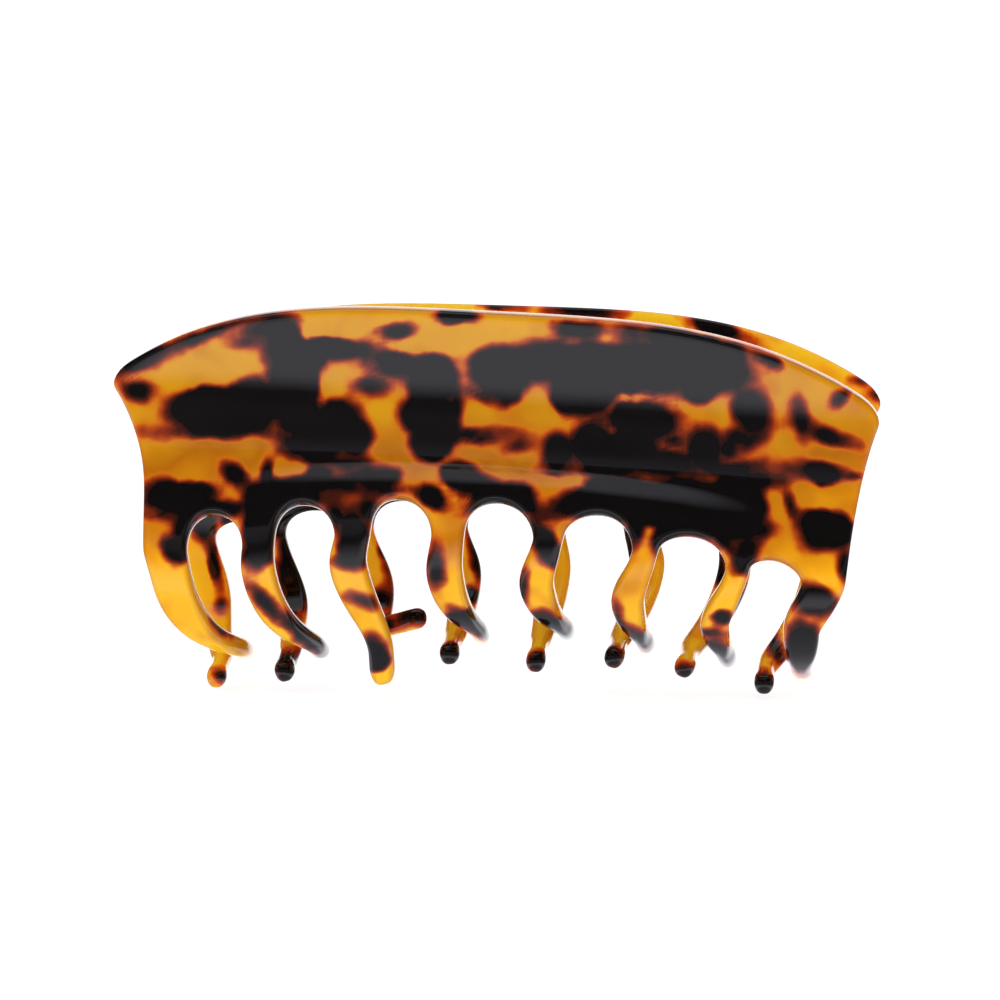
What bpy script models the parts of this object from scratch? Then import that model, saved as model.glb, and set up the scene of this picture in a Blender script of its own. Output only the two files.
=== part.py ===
"""A claw clip of heat-formed sheet: two toothed jaws on a sprung steel hinge.

Metres, +X along the clip, +Z up, the front jaw at -Y. The clip stands closed on its outer teeth.
Lengths below are in millimetres; MM turns them into metres.
"""

import math

import bmesh
import bpy
from mathutils import Matrix, Vector

MM = 0.001

# The sheet and its flat blank. A place on the blank is (across, down): down is
# measured along the sheet from the crest of the top edge.
SHEET = 3.0
RIM_BEVEL = 0.5
LEFT_END = -54.6
RIGHT_END = 54.7
CORNER_DROP = 11.8
TOP_EDGE_POWER = 3.5
NECK_DOWN = 36.6
GAP_TOP_DOWN = 32.0
CREST_HEIGHT = 54.8
CREST_OUT = 11.6
ARCH_HALF = 43.0

# Between which distances down the middle teeth are raised, and the plate's slope
# along the clip dies away.
LIFT_FROM, LIFT_TO = 20.0, 31.0
SLOPE_FROM, SLOPE_TO = 33.0, 48.0

# How the sheet is bent: at each distance down, the angle of its run from straight
# down, positive towards the other jaw.
BENDS = ((0, 11), (10, 11), (14, 0), (20, 0), (27, -24), (29, -24), (40, 10), (52, 62), (62, 72), (80, 72))
STRAIGHT_BENDS = BENDS[:7] + ((52, 22), (80, 26))
HOOKED_BENDS = BENDS[:7] + ((46, 17), (52.5, 82), (56, 96), (59, 125), (80, 125))
# The hooked tooth also turns sideways in the sheet, at these distances along it.
NO_TURNS = ((0, 0), (80, 0))
HOOK_TURNS = ((0, 0), (54, 0), (60, 62), (80, 62))

# One row per tooth, left to right seen from outside: centre and width at the neck,
# centre and width at the belly, and how far down the belly is.
TEETH = (
    (-46.1, 6.2, -45.4, 5.8, 40.0),
    (-32.7, 4.5, -33.0, 4.8, 40.0),
    (-19.3, 5.0, -20.2, 5.3, 41.0),
    (-5.8, 4.6, -6.5, 5.2, 42.5),
    (8.3, 4.1, 6.4, 4.9, 44.0),
    (21.9, 3.5, 19.2, 4.7, 45.5),
    (34.8, 3.2, 31.4, 4.1, 47.5),
    (46.7, 6.1, 43.6, 5.2, 45.5),
)
# How much further down each gap starts than the first one, and how far its top
# leans to the right.
GAP_TOPS = ((0.0, -0.9), (0.0, -0.7), (-0.2, -0.8), (0.0, -0.2), (0.3, 0.7), (1.2, 0.7), (1.9, 0.5))
# How each end of the plate runs out from the neck line to its corner: the share of
# that run which is straight.
LEFT_STRAIGHT = 0.0
RIGHT_STRAIGHT = 0.5

# One row per tooth of each jaw: where the tip ends across, how far down, how much
# tighter than the common bend it curls, and the tip's width.
FRONT_TIPS = (
    (-37.6, 62.4, 1.16, 2.7),
    (-26.8, 64.0, 1.06, 2.7),
    (-15.9, 58.6, 1.0, 3.7),
    (-3.2, 64.0, 1.05, 2.7),
    (9.2, 63.6, 1.09, 2.7),
    (20.7, 64.0, 1.05, 2.7),
    (32.4, 64.5, 1.05, 2.7),
    (43.1, 65.0, 1.05, 3.5),
)
BACK_TIPS = (
    (-38.1, 65.0, 1.02, 3.2),
    (-26.9, 65.0, 1.07, 3.2),
    (-16.9, 65.0, 1.07, 3.2),
    (-5.6, 65.0, 0.99, 3.2),
    (6.7, 65.0, 1.05, 3.2),
    (19.2, 66.6, 1.0, 3.2),
    (30.6, 65.0, 1.0, 3.2),
    (40.5, 64.8, 1.0, 3.2),
)
# How far the middle teeth are raised above the end ones, and how the plate slopes
# along its length, in degrees.
FRONT_LIFT = 4.7
FRONT_SLOPE = 2.7
STRAIGHT_TOOTH = 2
BACK_LIFT = 3.2
BACK_SLOPE = -1.4
HOOKED_TOOTH = 5
# The share of its width that a back tooth loses just above the bead at its end.
BACK_PINCH = 0.30

# The hinge. Its brackets sit on a flat band of each jaw, SEAT_DOWN from the crest.
PIN_HEIGHT = 38.1
SEAT_DOWN = 17.0
PIN_RADIUS = 1.0
PIN_HEAD_RADIUS = 1.7
PIN_HEAD = 0.7
PIN_END_PLAY = 0.3
EAR_HOLE_RADIUS = 1.08
EAR_RADIUS = 2.3
PLATE = 0.8
BRACKET_HEIGHT = 5.4
FRONT_EAR_AT = 11.5
BACK_EAR_AT = 10.5
EAR_ARC = 200.0
EAR_ARC_STEPS = 12
SEAT_GAP = 0.05
RIVET_AT = 6.5
RIVET_RADIUS = 0.75
RIVET_HOLE_RADIUS = 1.0
RIVET_HEAD_RADIUS = 1.4
RIVET_HEAD = 0.5
RIVET_DEPTH = 2.6
RIVET_END_GAP = 0.3
WIRE_RADIUS = 0.45
COIL_RADIUS = 2.1
COIL_TURNS = 11
COIL_PITCH = 1.15
COIL_START = -20.0
LEG_UP = 6.2
LEG_GAP = 0.1

# How finely curved stretches are divided.
PLATE_ROWS = 9
TOOTH_ROWS = 9
TIP_ROWS = 3
TOOTH_COLUMNS = 3
GAP_COLUMNS = 5
STEPS_PER_MM = 10
STEPS_PER_TURN = 12
END_FLAT = 0.45
TAPER_END = 7.0
# How far from a back tooth's end its narrow waist starts, and the bead at its end.
WAIST_TOP = 9.0
BEAD = 2.2


def clear_scene():
    for obj in list(bpy.data.objects):
        bpy.data.objects.remove(obj, do_unlink=True)


def collection(name, hidden=False):
    found = bpy.data.collections.new(name)
    bpy.context.scene.collection.children.link(found)
    found.hide_render = hidden
    return found


def material(name, colour, roughness, metallic=0.0):
    made = bpy.data.materials.new(name)
    made.use_nodes = True
    shader = made.node_tree.nodes["Principled BSDF"]
    shader.inputs["Base Color"].default_value = (*colour, 1.0)
    shader.inputs["Roughness"].default_value = roughness
    shader.inputs["Metallic"].default_value = metallic
    return made


def ease(low, high, value):
    """Rises smoothly from 0 at low to 1 at high."""
    t = min(max((value - low) / (high - low), 0.0), 1.0)
    return t * t * (3 - 2 * t)


def angle_at(bends, along, curl=1.0):
    """The angle that a list of (distance, degrees) gives at a distance along it."""
    degrees = bends[-1][1]
    for (a, start), (b, end) in zip(bends, bends[1:]):
        if along <= b:
            degrees = start + (end - start) * (along - a) / (b - a)
            break
    if degrees > 0 and along > NECK_DOWN:
        degrees *= curl
    return math.radians(degrees)


def bent_line(bends, curl=1.0):
    """Distance out from the clip's middle, and height, at each small step down the sheet."""
    step = 1.0 / STEPS_PER_MM
    out, height = CREST_OUT, CREST_HEIGHT
    line = [(out, height)]
    for i in range(int(bends[-1][0] * STEPS_PER_MM)):
        angle = angle_at(bends, (i + 0.5) * step, curl)
        out -= math.sin(angle) * step
        height -= math.cos(angle) * step
        line.append((out, height))
    return line


def place_on(line, down):
    at = min(max(down * STEPS_PER_MM, 0.0), len(line) - 1.001)
    i = int(at)
    t = at - i
    return tuple(a + (b - a) * t for a, b in zip(line[i], line[i + 1]))


def bend(line, jaw, across, down, neck_across):
    """The place on the bent sheet's middle, seen from outside the jaw."""
    out, height = place_on(line, down)
    arch = max(1 - (neck_across / ARCH_HALF) ** 2, 0.0)
    height += jaw["lift"] * arch * ease(LIFT_FROM, LIFT_TO, down)
    height -= math.tan(math.radians(jaw["slope"])) * neck_across * (1 - ease(SLOPE_FROM, SLOPE_TO, down))
    return across, -out, height


def waist(jaw, tip, along):
    """How much narrower a tooth is just before its end, which leaves the end a round bead."""
    to_end = tip[1] - along
    return 1 - jaw["pinch"] * (1 - ease(WAIST_TOP - 3, WAIST_TOP, to_end)) * ease(BEAD, BEAD + 1.5, to_end)


def tooth_width(row, tip, along):
    """A tooth's width at a distance along it, rounded off at its end."""
    end, tip_width = tip[1], tip[3]
    width = row[1] + (row[3] - row[1]) * ease(NECK_DOWN, row[4], along)
    width += (tip_width - width) * ease(row[4] - 1, end - TAPER_END, along)
    radius = tip_width / 2
    to_end = end - along
    if to_end < radius:
        width *= math.sqrt(max(1 - (1 - to_end / radius) ** 2, END_FLAT**2))
    return width


def tooth_line(row, tip, turns):
    """The middle line of a tooth on the blank: (across, down) at each small step along it."""
    step = 1.0 / STEPS_PER_MM
    down, side = NECK_DOWN, 0.0
    line = []
    for i in range(int(NECK_DOWN * STEPS_PER_MM), int(tip[1] * STEPS_PER_MM) + 2):
        along = i * step
        centre = row[0] + (row[2] - row[0]) * ease(NECK_DOWN - 1, row[4], along)
        centre += (tip[0] - row[2]) * ease(row[4] - 2, tip[1] - 5, along)
        line.append((centre + side, down))
        turn = angle_at(turns, along)
        down += math.cos(turn) * step
        side -= math.sin(turn) * step
    return line


def tooth_point(row, tip, line, along, share, narrow):
    """A place on the blank: along a tooth, and share of its width to one side."""
    i = min(int((along - NECK_DOWN) * STEPS_PER_MM), len(line) - 2)
    (x0, y0), (x1, y1) = line[max(i - 1, 0)], line[i + 1]
    long = math.hypot(x1 - x0, y1 - y0)
    width = tooth_width(row, tip, along) * share * narrow
    # Near the neck the rows stay level, so that they meet the plate's lower edge.
    square = ease(NECK_DOWN, NECK_DOWN + 6, along)
    x, y = line[i]
    return x + width * (1 + ((y1 - y0) / long - 1) * square), y - width * (x1 - x0) / long * square


def neck_columns():
    """Each column of the plate as (across, down, tooth) at its lower end; tooth is None above a gap."""
    columns = []
    for i, row in enumerate(TEETH):
        for k in range(TOOTH_COLUMNS):
            share = k / (TOOTH_COLUMNS - 1) - 0.5
            columns.append((row[0] + share * row[1], NECK_DOWN, i))
        if i + 1 == len(TEETH):
            break
        after = TEETH[i + 1]
        low = row[0] + row[1] / 2
        high = after[0] - after[1] / 2
        lower, lean = GAP_TOPS[i]
        rise = NECK_DOWN - GAP_TOP_DOWN - lower
        for k in range(1, GAP_COLUMNS + 1):
            angle = math.pi * (1 - k / (GAP_COLUMNS + 1))
            across = (low + high) / 2 + (high - low) / 2 * math.cos(angle) + lean * math.sin(angle) ** 2
            columns.append((across, NECK_DOWN - rise * math.sin(angle), None))
    return columns


def plate_point(column, share):
    """A place on the blank, share of the way from the neck line up to the top edge."""
    across, low, tooth = column
    at_top = across
    if tooth in (0, len(TEETH) - 1):
        row = TEETH[tooth]
        corner, straight = (RIGHT_END, RIGHT_STRAIGHT) if tooth else (LEFT_END, LEFT_STRAIGHT)
        half = math.copysign(row[1] / 2, row[0])
        inner, outer = row[0] - half, row[0] + half
        part = (across - inner) / (outer - inner)
        run = straight * share + (1 - straight) * share**3
        across = inner + part * (outer - inner + (corner - outer) * run)
        at_top = inner + part * (corner - inner)
    end = RIGHT_END if at_top > 0 else LEFT_END
    top = CORNER_DROP * abs(at_top / end) ** TOP_EDGE_POWER
    return across, low + (top - low) * share


def tooth_rows(tip):
    """Distances along a tooth below its neck line, closer together round its end."""
    radius = tip[3] / 2
    body = tip[1] - radius
    rows = [NECK_DOWN + (body - NECK_DOWN) * k / TOOTH_ROWS for k in range(1, TOOTH_ROWS + 1)]
    for k in range(1, TIP_ROWS + 1):
        rows.append(body + radius * math.sin(math.pi / 2 * k / TIP_ROWS))
    return rows


def add_tooth(bm, jaw, i, columns, above):
    """The strip of sheet that makes tooth i, below the plate's own lowest points."""
    row, tip = TEETH[i], jaw["tips"][i]
    odd = i == jaw["odd_tooth"]
    line = bent_line(jaw["odd_bends"] if odd else BENDS, tip[2])
    middle = tooth_line(row, tip, jaw["odd_turns"] if odd else NO_TURNS)
    for along in tooth_rows(tip):
        narrow = waist(jaw, tip, along)
        below = []
        for n, column in enumerate(columns):
            across, down = tooth_point(row, tip, middle, along, n / (TOOTH_COLUMNS - 1) - 0.5, narrow)
            below.append(bm.verts.new(Vector(bend(line, jaw, across, down, column[0])) * MM))
        for n in range(TOOTH_COLUMNS - 1):
            bm.faces.new((below[n], below[n + 1], above[n + 1], above[n]))
        above = below


def jaw_mesh(jaw):
    """The middle surface of a jaw's sheet: a plate of columns, with a strip below it for each tooth."""
    bm = bmesh.new()
    plain = bent_line(BENDS)
    columns = neck_columns()
    grid = []
    for column in columns:
        line = []
        for k in range(PLATE_ROWS + 1):
            across, down = plate_point(column, k / PLATE_ROWS)
            line.append(bm.verts.new(Vector(bend(plain, jaw, across, down, column[0])) * MM))
        grid.append(line)
    for left, right in zip(grid, grid[1:]):
        for k in range(PLATE_ROWS):
            bm.faces.new((left[k], right[k], right[k + 1], left[k + 1]))
    for i in range(len(TEETH)):
        own = [k for k, column in enumerate(columns) if column[2] == i]
        add_tooth(bm, jaw, i, [columns[k] for k in own], [grid[k][0] for k in own])
    mesh = bpy.data.meshes.new("jaw_sheet")
    bm.to_mesh(mesh)
    bm.free()
    return mesh


def jaw(name, place, look, shape, turned):
    obj = bpy.data.objects.new(name, jaw_mesh(shape))
    obj.data.materials.append(look)
    place.objects.link(obj)
    if turned:
        obj.rotation_euler.z = math.pi
    sheet = obj.modifiers.new("sheet", "SOLIDIFY")
    sheet.thickness = SHEET * MM
    sheet.offset = 0.0
    sheet.use_even_offset = True
    rim = obj.modifiers.new("rim", "BEVEL")
    rim.width = RIM_BEVEL * MM
    rim.segments = 1
    rim.limit_method = "ANGLE"
    rim.angle_limit = math.radians(50)
    for polygon in obj.data.polygons:
        polygon.use_smooth = True
    return obj


def cut(obj, cutter):
    boolean = obj.modifiers.new("cut_" + cutter.name, "BOOLEAN")
    boolean.operation = "DIFFERENCE"
    boolean.solver = "EXACT"
    boolean.object = cutter


def rod(name, place, radius, start, end, look=None, sides=16):
    """A plain round rod from start to end, in millimetres."""
    bm = bmesh.new()
    a, b = Vector(start) * MM, Vector(end) * MM
    turn = (b - a).to_track_quat("Z", "Y").to_matrix().to_4x4()
    bmesh.ops.create_cone(
        bm, cap_ends=True, segments=sides, radius1=radius * MM, radius2=radius * MM, depth=(b - a).length
    )
    mesh = bpy.data.meshes.new(name)
    bm.to_mesh(mesh)
    bm.free()
    obj = bpy.data.objects.new(name, mesh)
    obj.matrix_world = Matrix.Translation((a + b) / 2) @ turn
    place.objects.link(obj)
    if look:
        mesh.materials.append(look)
    else:
        obj.display_type = "WIRE"
        obj.hide_render = True
    return obj


def turned_mesh(name, profile, sides=20):
    """A solid turned about Z from (radius, height) pairs, top to bottom."""
    mesh = bpy.data.meshes.new(name)
    points = [(radius * MM, 0.0, height * MM) for radius, height in profile]
    mesh.from_pydata(points, [(i, i + 1) for i in range(len(points) - 1)], [])
    obj = bpy.data.objects.new(name, mesh)
    screw = obj.modifiers.new("turn", "SCREW")
    screw.steps = sides
    screw.render_steps = sides
    screw.use_merge_vertices = True
    screw.merge_threshold = 0.00001
    return obj


def ear_outline():
    """The side view of a bracket's ear, as (y, z) from the pin."""
    seat = -(seat_face() - SEAT_GAP - PLATE / 2)
    outline = [(seat, BRACKET_HEIGHT / 2), (seat, -BRACKET_HEIGHT / 2)]
    for k in range(EAR_ARC_STEPS + 1):
        angle = math.radians(EAR_ARC * (k / EAR_ARC_STEPS - 0.5))
        outline.append((EAR_RADIUS * math.cos(angle), EAR_RADIUS * math.sin(angle)))
    return outline


def seat_face():
    """How far the flat seat on a jaw's inner face is from the clip's middle."""
    out, _ = place_on(bent_line(BENDS), SEAT_DOWN)
    return out - SHEET / 2


def slab(bm, low, high):
    made = bmesh.ops.create_cube(bm, size=1.0)["verts"]
    size = [(b - a) * MM for a, b in zip(low, high)]
    middle = [(a + b) / 2 * MM for a, b in zip(low, high)]
    bmesh.ops.scale(bm, vec=size, verts=made)
    bmesh.ops.translate(bm, vec=middle, verts=made)


def ear(name, place, at):
    """One ear, cut from plate, standing across X with its middle at x = at."""
    curve = bpy.data.curves.new(name, "CURVE")
    curve.dimensions = "2D"
    curve.fill_mode = "BOTH"
    curve.extrude = PLATE / 2 * MM
    points = ear_outline()
    spline = curve.splines.new("POLY")
    spline.points.add(len(points) - 1)
    for point, (y, z) in zip(spline.points, points):
        point.co = (y * MM, z * MM, 0.0, 1.0)
    spline.use_cyclic_u = True
    flat = bpy.data.objects.new(name + "_outline", curve)
    place.objects.link(flat)
    bpy.context.view_layer.update()
    mesh = bpy.data.meshes.new_from_object(flat.evaluated_get(bpy.context.evaluated_depsgraph_get()))
    bpy.data.objects.remove(flat, do_unlink=True)
    bm = bmesh.new()
    bm.from_mesh(mesh)
    bmesh.ops.remove_doubles(bm, verts=bm.verts, dist=1e-6)
    stand = Matrix(((0, 0, 1, at * MM), (1, 0, 0, 0), (0, 1, 0, 0), (0, 0, 0, 1)))
    bmesh.ops.transform(bm, matrix=stand, verts=bm.verts)
    bmesh.ops.recalc_face_normals(bm, faces=bm.faces)
    bm.to_mesh(mesh)
    bm.free()
    obj = bpy.data.objects.new(name, mesh)
    obj.location.z = PIN_HEIGHT * MM
    obj.display_type = "WIRE"
    obj.hide_render = True
    place.objects.link(obj)
    return obj


def bracket(name, place, cutters, look, ear_at, turned):
    """A base plate on the jaw's seat, with two ears reaching in to the pin."""
    inner = -(seat_face() - SEAT_GAP - PLATE)
    bm = bmesh.new()
    reach = ear_at + PLATE / 2
    slab(bm, (-reach, inner - PLATE, -BRACKET_HEIGHT / 2), (reach, inner, BRACKET_HEIGHT / 2))
    mesh = bpy.data.meshes.new(name)
    bm.to_mesh(mesh)
    bm.free()
    mesh.materials.append(look)
    obj = bpy.data.objects.new(name, mesh)
    obj.location.z = PIN_HEIGHT * MM
    place.objects.link(obj)
    if turned:
        obj.rotation_euler.z = math.pi
    for side in (-1, 1):
        joined = obj.modifiers.new("ear", "BOOLEAN")
        joined.operation = "UNION"
        joined.solver = "EXACT"
        made = ear(f"{name}_ear_{'left' if side < 0 else 'right'}", cutters, side * ear_at)
        if turned:
            made.rotation_euler.z = math.pi
        joined.object = made
    return obj


def hinge_pin(place, look):
    half = FRONT_EAR_AT + PLATE / 2 + PIN_END_PLAY
    profile = (
        (0.0, half + PIN_HEAD),
        (PIN_HEAD_RADIUS * 0.7, half + PIN_HEAD),
        (PIN_HEAD_RADIUS, half + PIN_HEAD * 0.6),
        (PIN_HEAD_RADIUS, half),
        (PIN_RADIUS, half),
        (PIN_RADIUS, -half),
        (PIN_RADIUS * 1.4, -half),
        (PIN_RADIUS * 1.3, -half - PIN_HEAD * 0.5),
        (PIN_RADIUS * 0.6, -half - PIN_HEAD * 0.7),
        (0.0, -half - PIN_HEAD * 0.7),
    )
    obj = turned_mesh("hinge_pin", profile, sides=24)
    obj.data.materials.append(look)
    obj.rotation_euler.y = math.pi / 2
    obj.location.z = PIN_HEIGHT * MM
    place.objects.link(obj)
    return obj


def rivet(name, place, look, across, turned):
    """A headed rivet set from inside the clip, blind in the jaw's sheet."""
    sign = 1 if turned else -1
    inner = sign * (seat_face() - SEAT_GAP - PLATE - SEAT_GAP)
    profile = (
        (0.0, RIVET_HEAD),
        (RIVET_HEAD_RADIUS * 0.75, RIVET_HEAD),
        (RIVET_HEAD_RADIUS, RIVET_HEAD * 0.4),
        (RIVET_HEAD_RADIUS, 0.0),
        (RIVET_RADIUS, 0.0),
        (RIVET_RADIUS, -RIVET_DEPTH),
        (0.0, -RIVET_DEPTH),
    )
    obj = turned_mesh(name, profile, sides=12)
    obj.data.materials.append(look)
    obj.rotation_euler.x = sign * math.pi / 2
    obj.location = (across * MM, inner * MM, PIN_HEIGHT * MM)
    place.objects.link(obj)
    return obj


def spring_path():
    """The middle of the wire's coil round the pin, in millimetres from the pin."""
    half = COIL_TURNS * COIL_PITCH / 2
    start = math.radians(COIL_START)
    turns = COIL_TURNS + (180 + 2 * COIL_START) / 360
    count = int(turns * STEPS_PER_TURN)
    coil = []
    for k in range(count + 1):
        angle = start - 2 * math.pi * turns * k / count
        x = -half + 2 * half * k / count
        coil.append((x, COIL_RADIUS * math.cos(angle), COIL_RADIUS * math.sin(angle)))
    return coil


def torsion_spring(place, look):
    """The coil, with a straight leg up to the inner face of each jaw."""
    reach = seat_face() - WIRE_RADIUS - LEG_GAP
    coil = spring_path()
    first = Vector(coil[0])
    last = Vector(coil[-1])
    path = [Vector((first.x, reach, LEG_UP))] + [Vector(p) for p in coil] + [Vector((last.x, -reach, LEG_UP))]
    curve = bpy.data.curves.new("torsion_spring", "CURVE")
    curve.dimensions = "3D"
    curve.bevel_depth = WIRE_RADIUS * MM
    curve.bevel_resolution = 1
    curve.use_fill_caps = True
    spline = curve.splines.new("POLY")
    spline.points.add(len(path) - 1)
    for point, at in zip(spline.points, path):
        point.co = (*(at * MM), 1.0)
    curve.materials.append(look)
    obj = bpy.data.objects.new("torsion_spring", curve)
    obj.location.z = PIN_HEIGHT * MM
    place.objects.link(obj)
    return obj


def main():
    clear_scene()
    parts = collection("claw_clip")
    cutters = collection("cutters", hidden=True)
    shell = material("tortoiseshell_acetate", (0.62, 0.28, 0.03), 0.12)
    steel = material("plated_steel", (0.72, 0.71, 0.68), 0.28, 1.0)
    wire = material("spring_steel", (0.55, 0.55, 0.56), 0.32, 1.0)
    front = {
        "tips": FRONT_TIPS,
        "lift": FRONT_LIFT,
        "slope": FRONT_SLOPE,
        "pinch": 0.0,
        "odd_tooth": STRAIGHT_TOOTH,
        "odd_bends": STRAIGHT_BENDS,
        "odd_turns": NO_TURNS,
    }
    back = {
        "tips": BACK_TIPS,
        "lift": BACK_LIFT,
        "slope": BACK_SLOPE,
        "pinch": BACK_PINCH,
        "odd_tooth": HOOKED_TOOTH,
        "odd_bends": HOOKED_BENDS,
        "odd_turns": HOOK_TURNS,
    }
    front_jaw = jaw("front_jaw", parts, shell, front, turned=False)
    back_jaw = jaw("back_jaw", parts, shell, back, turned=True)
    front_bracket = bracket("front_hinge_bracket", parts, cutters, steel, FRONT_EAR_AT, turned=False)
    back_bracket = bracket("back_hinge_bracket", parts, cutters, steel, BACK_EAR_AT, turned=True)
    hinge_pin(parts, steel)
    torsion_spring(parts, wire)
    for side, across in (("left", -RIVET_AT), ("right", RIVET_AT)):
        rivet(f"front_rivet_{side}", parts, steel, across, turned=False)
        rivet(f"back_rivet_{side}", parts, steel, across, turned=True)
        deep = seat_face() + RIVET_DEPTH - PLATE + RIVET_END_GAP
        shallow = seat_face() - 2 * PLATE
        for sign, sheet, plate in ((-1, front_jaw, front_bracket), (1, back_jaw, back_bracket)):
            end = "front" if sign < 0 else "back"
            low = (across, sign * shallow, PIN_HEIGHT)
            high = (across, sign * deep, PIN_HEIGHT)
            drill = rod(f"rivet_hole_{end}_{side}", cutters, RIVET_HOLE_RADIUS, low, high, sides=12)
            cut(sheet, drill)
            cut(plate, drill)
    bore = rod("pin_hole", cutters, EAR_HOLE_RADIUS, (-20, 0, PIN_HEIGHT), (20, 0, PIN_HEIGHT), sides=24)
    cut(front_bracket, bore)
    cut(back_bracket, bore)


main()
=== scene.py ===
"""Looks of the claw clip: polished tortoiseshell jaws, steel hinge parts, a pale studio and the camera.

The frame is in metres. Lengths named below are in millimetres, and MM turns them into metres.
"""

import math

import bmesh
import bpy
import numpy as np
from mathutils import Matrix, Vector


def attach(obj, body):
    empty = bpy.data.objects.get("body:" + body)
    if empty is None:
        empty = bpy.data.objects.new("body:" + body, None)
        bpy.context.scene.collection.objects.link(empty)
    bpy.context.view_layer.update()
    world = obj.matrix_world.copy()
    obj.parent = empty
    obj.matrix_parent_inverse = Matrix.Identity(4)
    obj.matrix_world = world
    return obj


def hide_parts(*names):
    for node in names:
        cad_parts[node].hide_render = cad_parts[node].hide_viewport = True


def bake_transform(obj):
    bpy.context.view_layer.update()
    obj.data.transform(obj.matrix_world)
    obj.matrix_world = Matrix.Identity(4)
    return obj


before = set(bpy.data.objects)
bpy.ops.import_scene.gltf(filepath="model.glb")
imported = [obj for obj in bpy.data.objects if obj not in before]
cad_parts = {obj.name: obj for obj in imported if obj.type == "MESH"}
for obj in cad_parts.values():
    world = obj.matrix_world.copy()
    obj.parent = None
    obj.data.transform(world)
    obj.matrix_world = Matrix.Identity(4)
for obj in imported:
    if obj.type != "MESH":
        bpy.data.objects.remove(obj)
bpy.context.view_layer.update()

MM = 0.001
HALF_TURN = Matrix.Rotation(math.pi, 3, "Z")

# The sheet and its flat blank, as in the CAD. A place on the blank is (across,
# down): down is measured along the sheet from the crest of the top edge.
SHEET = 3.0
LEFT_END = -54.6
RIGHT_END = 54.7
CORNER_DROP = 11.8
TOP_EDGE_POWER = 3.5
NECK_DOWN = 36.6
GAP_TOP_DOWN = 32.0
CREST_HEIGHT = 54.8
CREST_OUT = 11.6
ARCH_HALF = 43.0
LIFT_FROM, LIFT_TO = 20.0, 31.0
SLOPE_FROM, SLOPE_TO = 33.0, 48.0

# The angle of the sheet's run from straight down, at each distance down it.
BENDS = ((0, 11), (10, 11), (14, 0), (20, 0), (27, -24), (29, -24), (40, 10), (52, 62), (62, 72), (80, 72))
STRAIGHT_BENDS = BENDS[:7] + ((52, 22), (80, 26))
HOOKED_BENDS = BENDS[:7] + ((46, 17), (52.5, 82), (56, 96), (59, 125), (80, 125))
NO_TURNS = ((0, 0), (80, 0))
HOOK_TURNS = ((0, 0), (54, 0), (60, 62), (80, 62))

# Each tooth, left to right seen from outside: centre and width at the neck, centre
# and width at the belly, and how far down the belly is.
TEETH = (
    (-46.1, 6.2, -45.4, 5.8, 40.0),
    (-32.7, 4.5, -33.0, 4.8, 40.0),
    (-19.3, 5.0, -20.2, 5.3, 41.0),
    (-5.8, 4.6, -6.5, 5.2, 42.5),
    (8.3, 4.1, 6.4, 4.9, 44.0),
    (21.9, 3.5, 19.2, 4.7, 45.5),
    (34.8, 3.2, 31.4, 4.1, 47.5),
    (46.7, 6.1, 43.6, 5.2, 45.5),
)
# How much further down each gap starts, and how far its top leans to the right.
GAP_TOPS = ((0.0, -0.9), (0.0, -0.7), (-0.2, -0.8), (0.0, -0.2), (0.3, 0.7), (1.2, 0.7), (1.9, 0.5))
LEFT_STRAIGHT = 0.0
RIGHT_STRAIGHT = 0.5
# Each tip: where it ends across, how far down, its extra curl, and its width.
# Most of the places across and the curls are a fitting program's results, rounded.
FRONT_TIPS = (
    (-37.6, 62.4, 1.16, 2.7),
    (-26.8, 64.0, 1.06, 2.7),
    (-15.9, 58.6, 1.0, 3.7),
    (-3.2, 64.0, 1.05, 2.7),
    (9.2, 63.6, 1.09, 2.7),
    (20.7, 64.0, 1.05, 2.7),
    (32.4, 64.5, 1.05, 2.7),
    (43.1, 65.0, 1.05, 3.5),
)
BACK_TIPS = (
    (-38.1, 65.0, 1.02, 3.2),
    (-26.9, 65.0, 1.07, 3.2),
    (-16.9, 65.0, 1.07, 3.2),
    (-5.6, 65.0, 0.99, 3.2),
    (6.7, 65.0, 1.05, 3.2),
    (19.2, 66.6, 1.0, 3.2),
    (30.6, 65.0, 1.0, 3.2),
    (40.5, 64.8, 1.0, 3.2),
)
FRONT = {
    "tips": FRONT_TIPS,
    "lift": 4.7,
    "slope": 2.7,
    "pinch": 0.0,
    "odd_tooth": 2,
    "odd_bends": STRAIGHT_BENDS,
    "odd_turns": NO_TURNS,
}
BACK = {
    "tips": BACK_TIPS,
    "lift": 3.2,
    "slope": -1.4,
    "pinch": 0.30,
    "odd_tooth": 5,
    "odd_bends": HOOKED_BENDS,
    "odd_turns": HOOK_TURNS,
}

# How far the polished edge is rounded: along the top, round the gaps, at the tips.
RIM_TOP = 0.6
RIM_GAP = 0.9
RIM_TIP = 1.25
RIM_STEPS = 3
CORNER_RADIUS = 1.8
LEAST_FLAT = 0.3

PLATE_ROWS = 24
TOOTH_ROWS = 26
TOOTH_COLUMNS = 9
GAP_COLUMNS = 9
STEPS_PER_MM = 10
TAPER_END = 7.0
WAIST_TOP = 9.0
WAIST_EASE = 3.0
BEAD = 2.2
BEAD_EASE = 1.5

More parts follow.
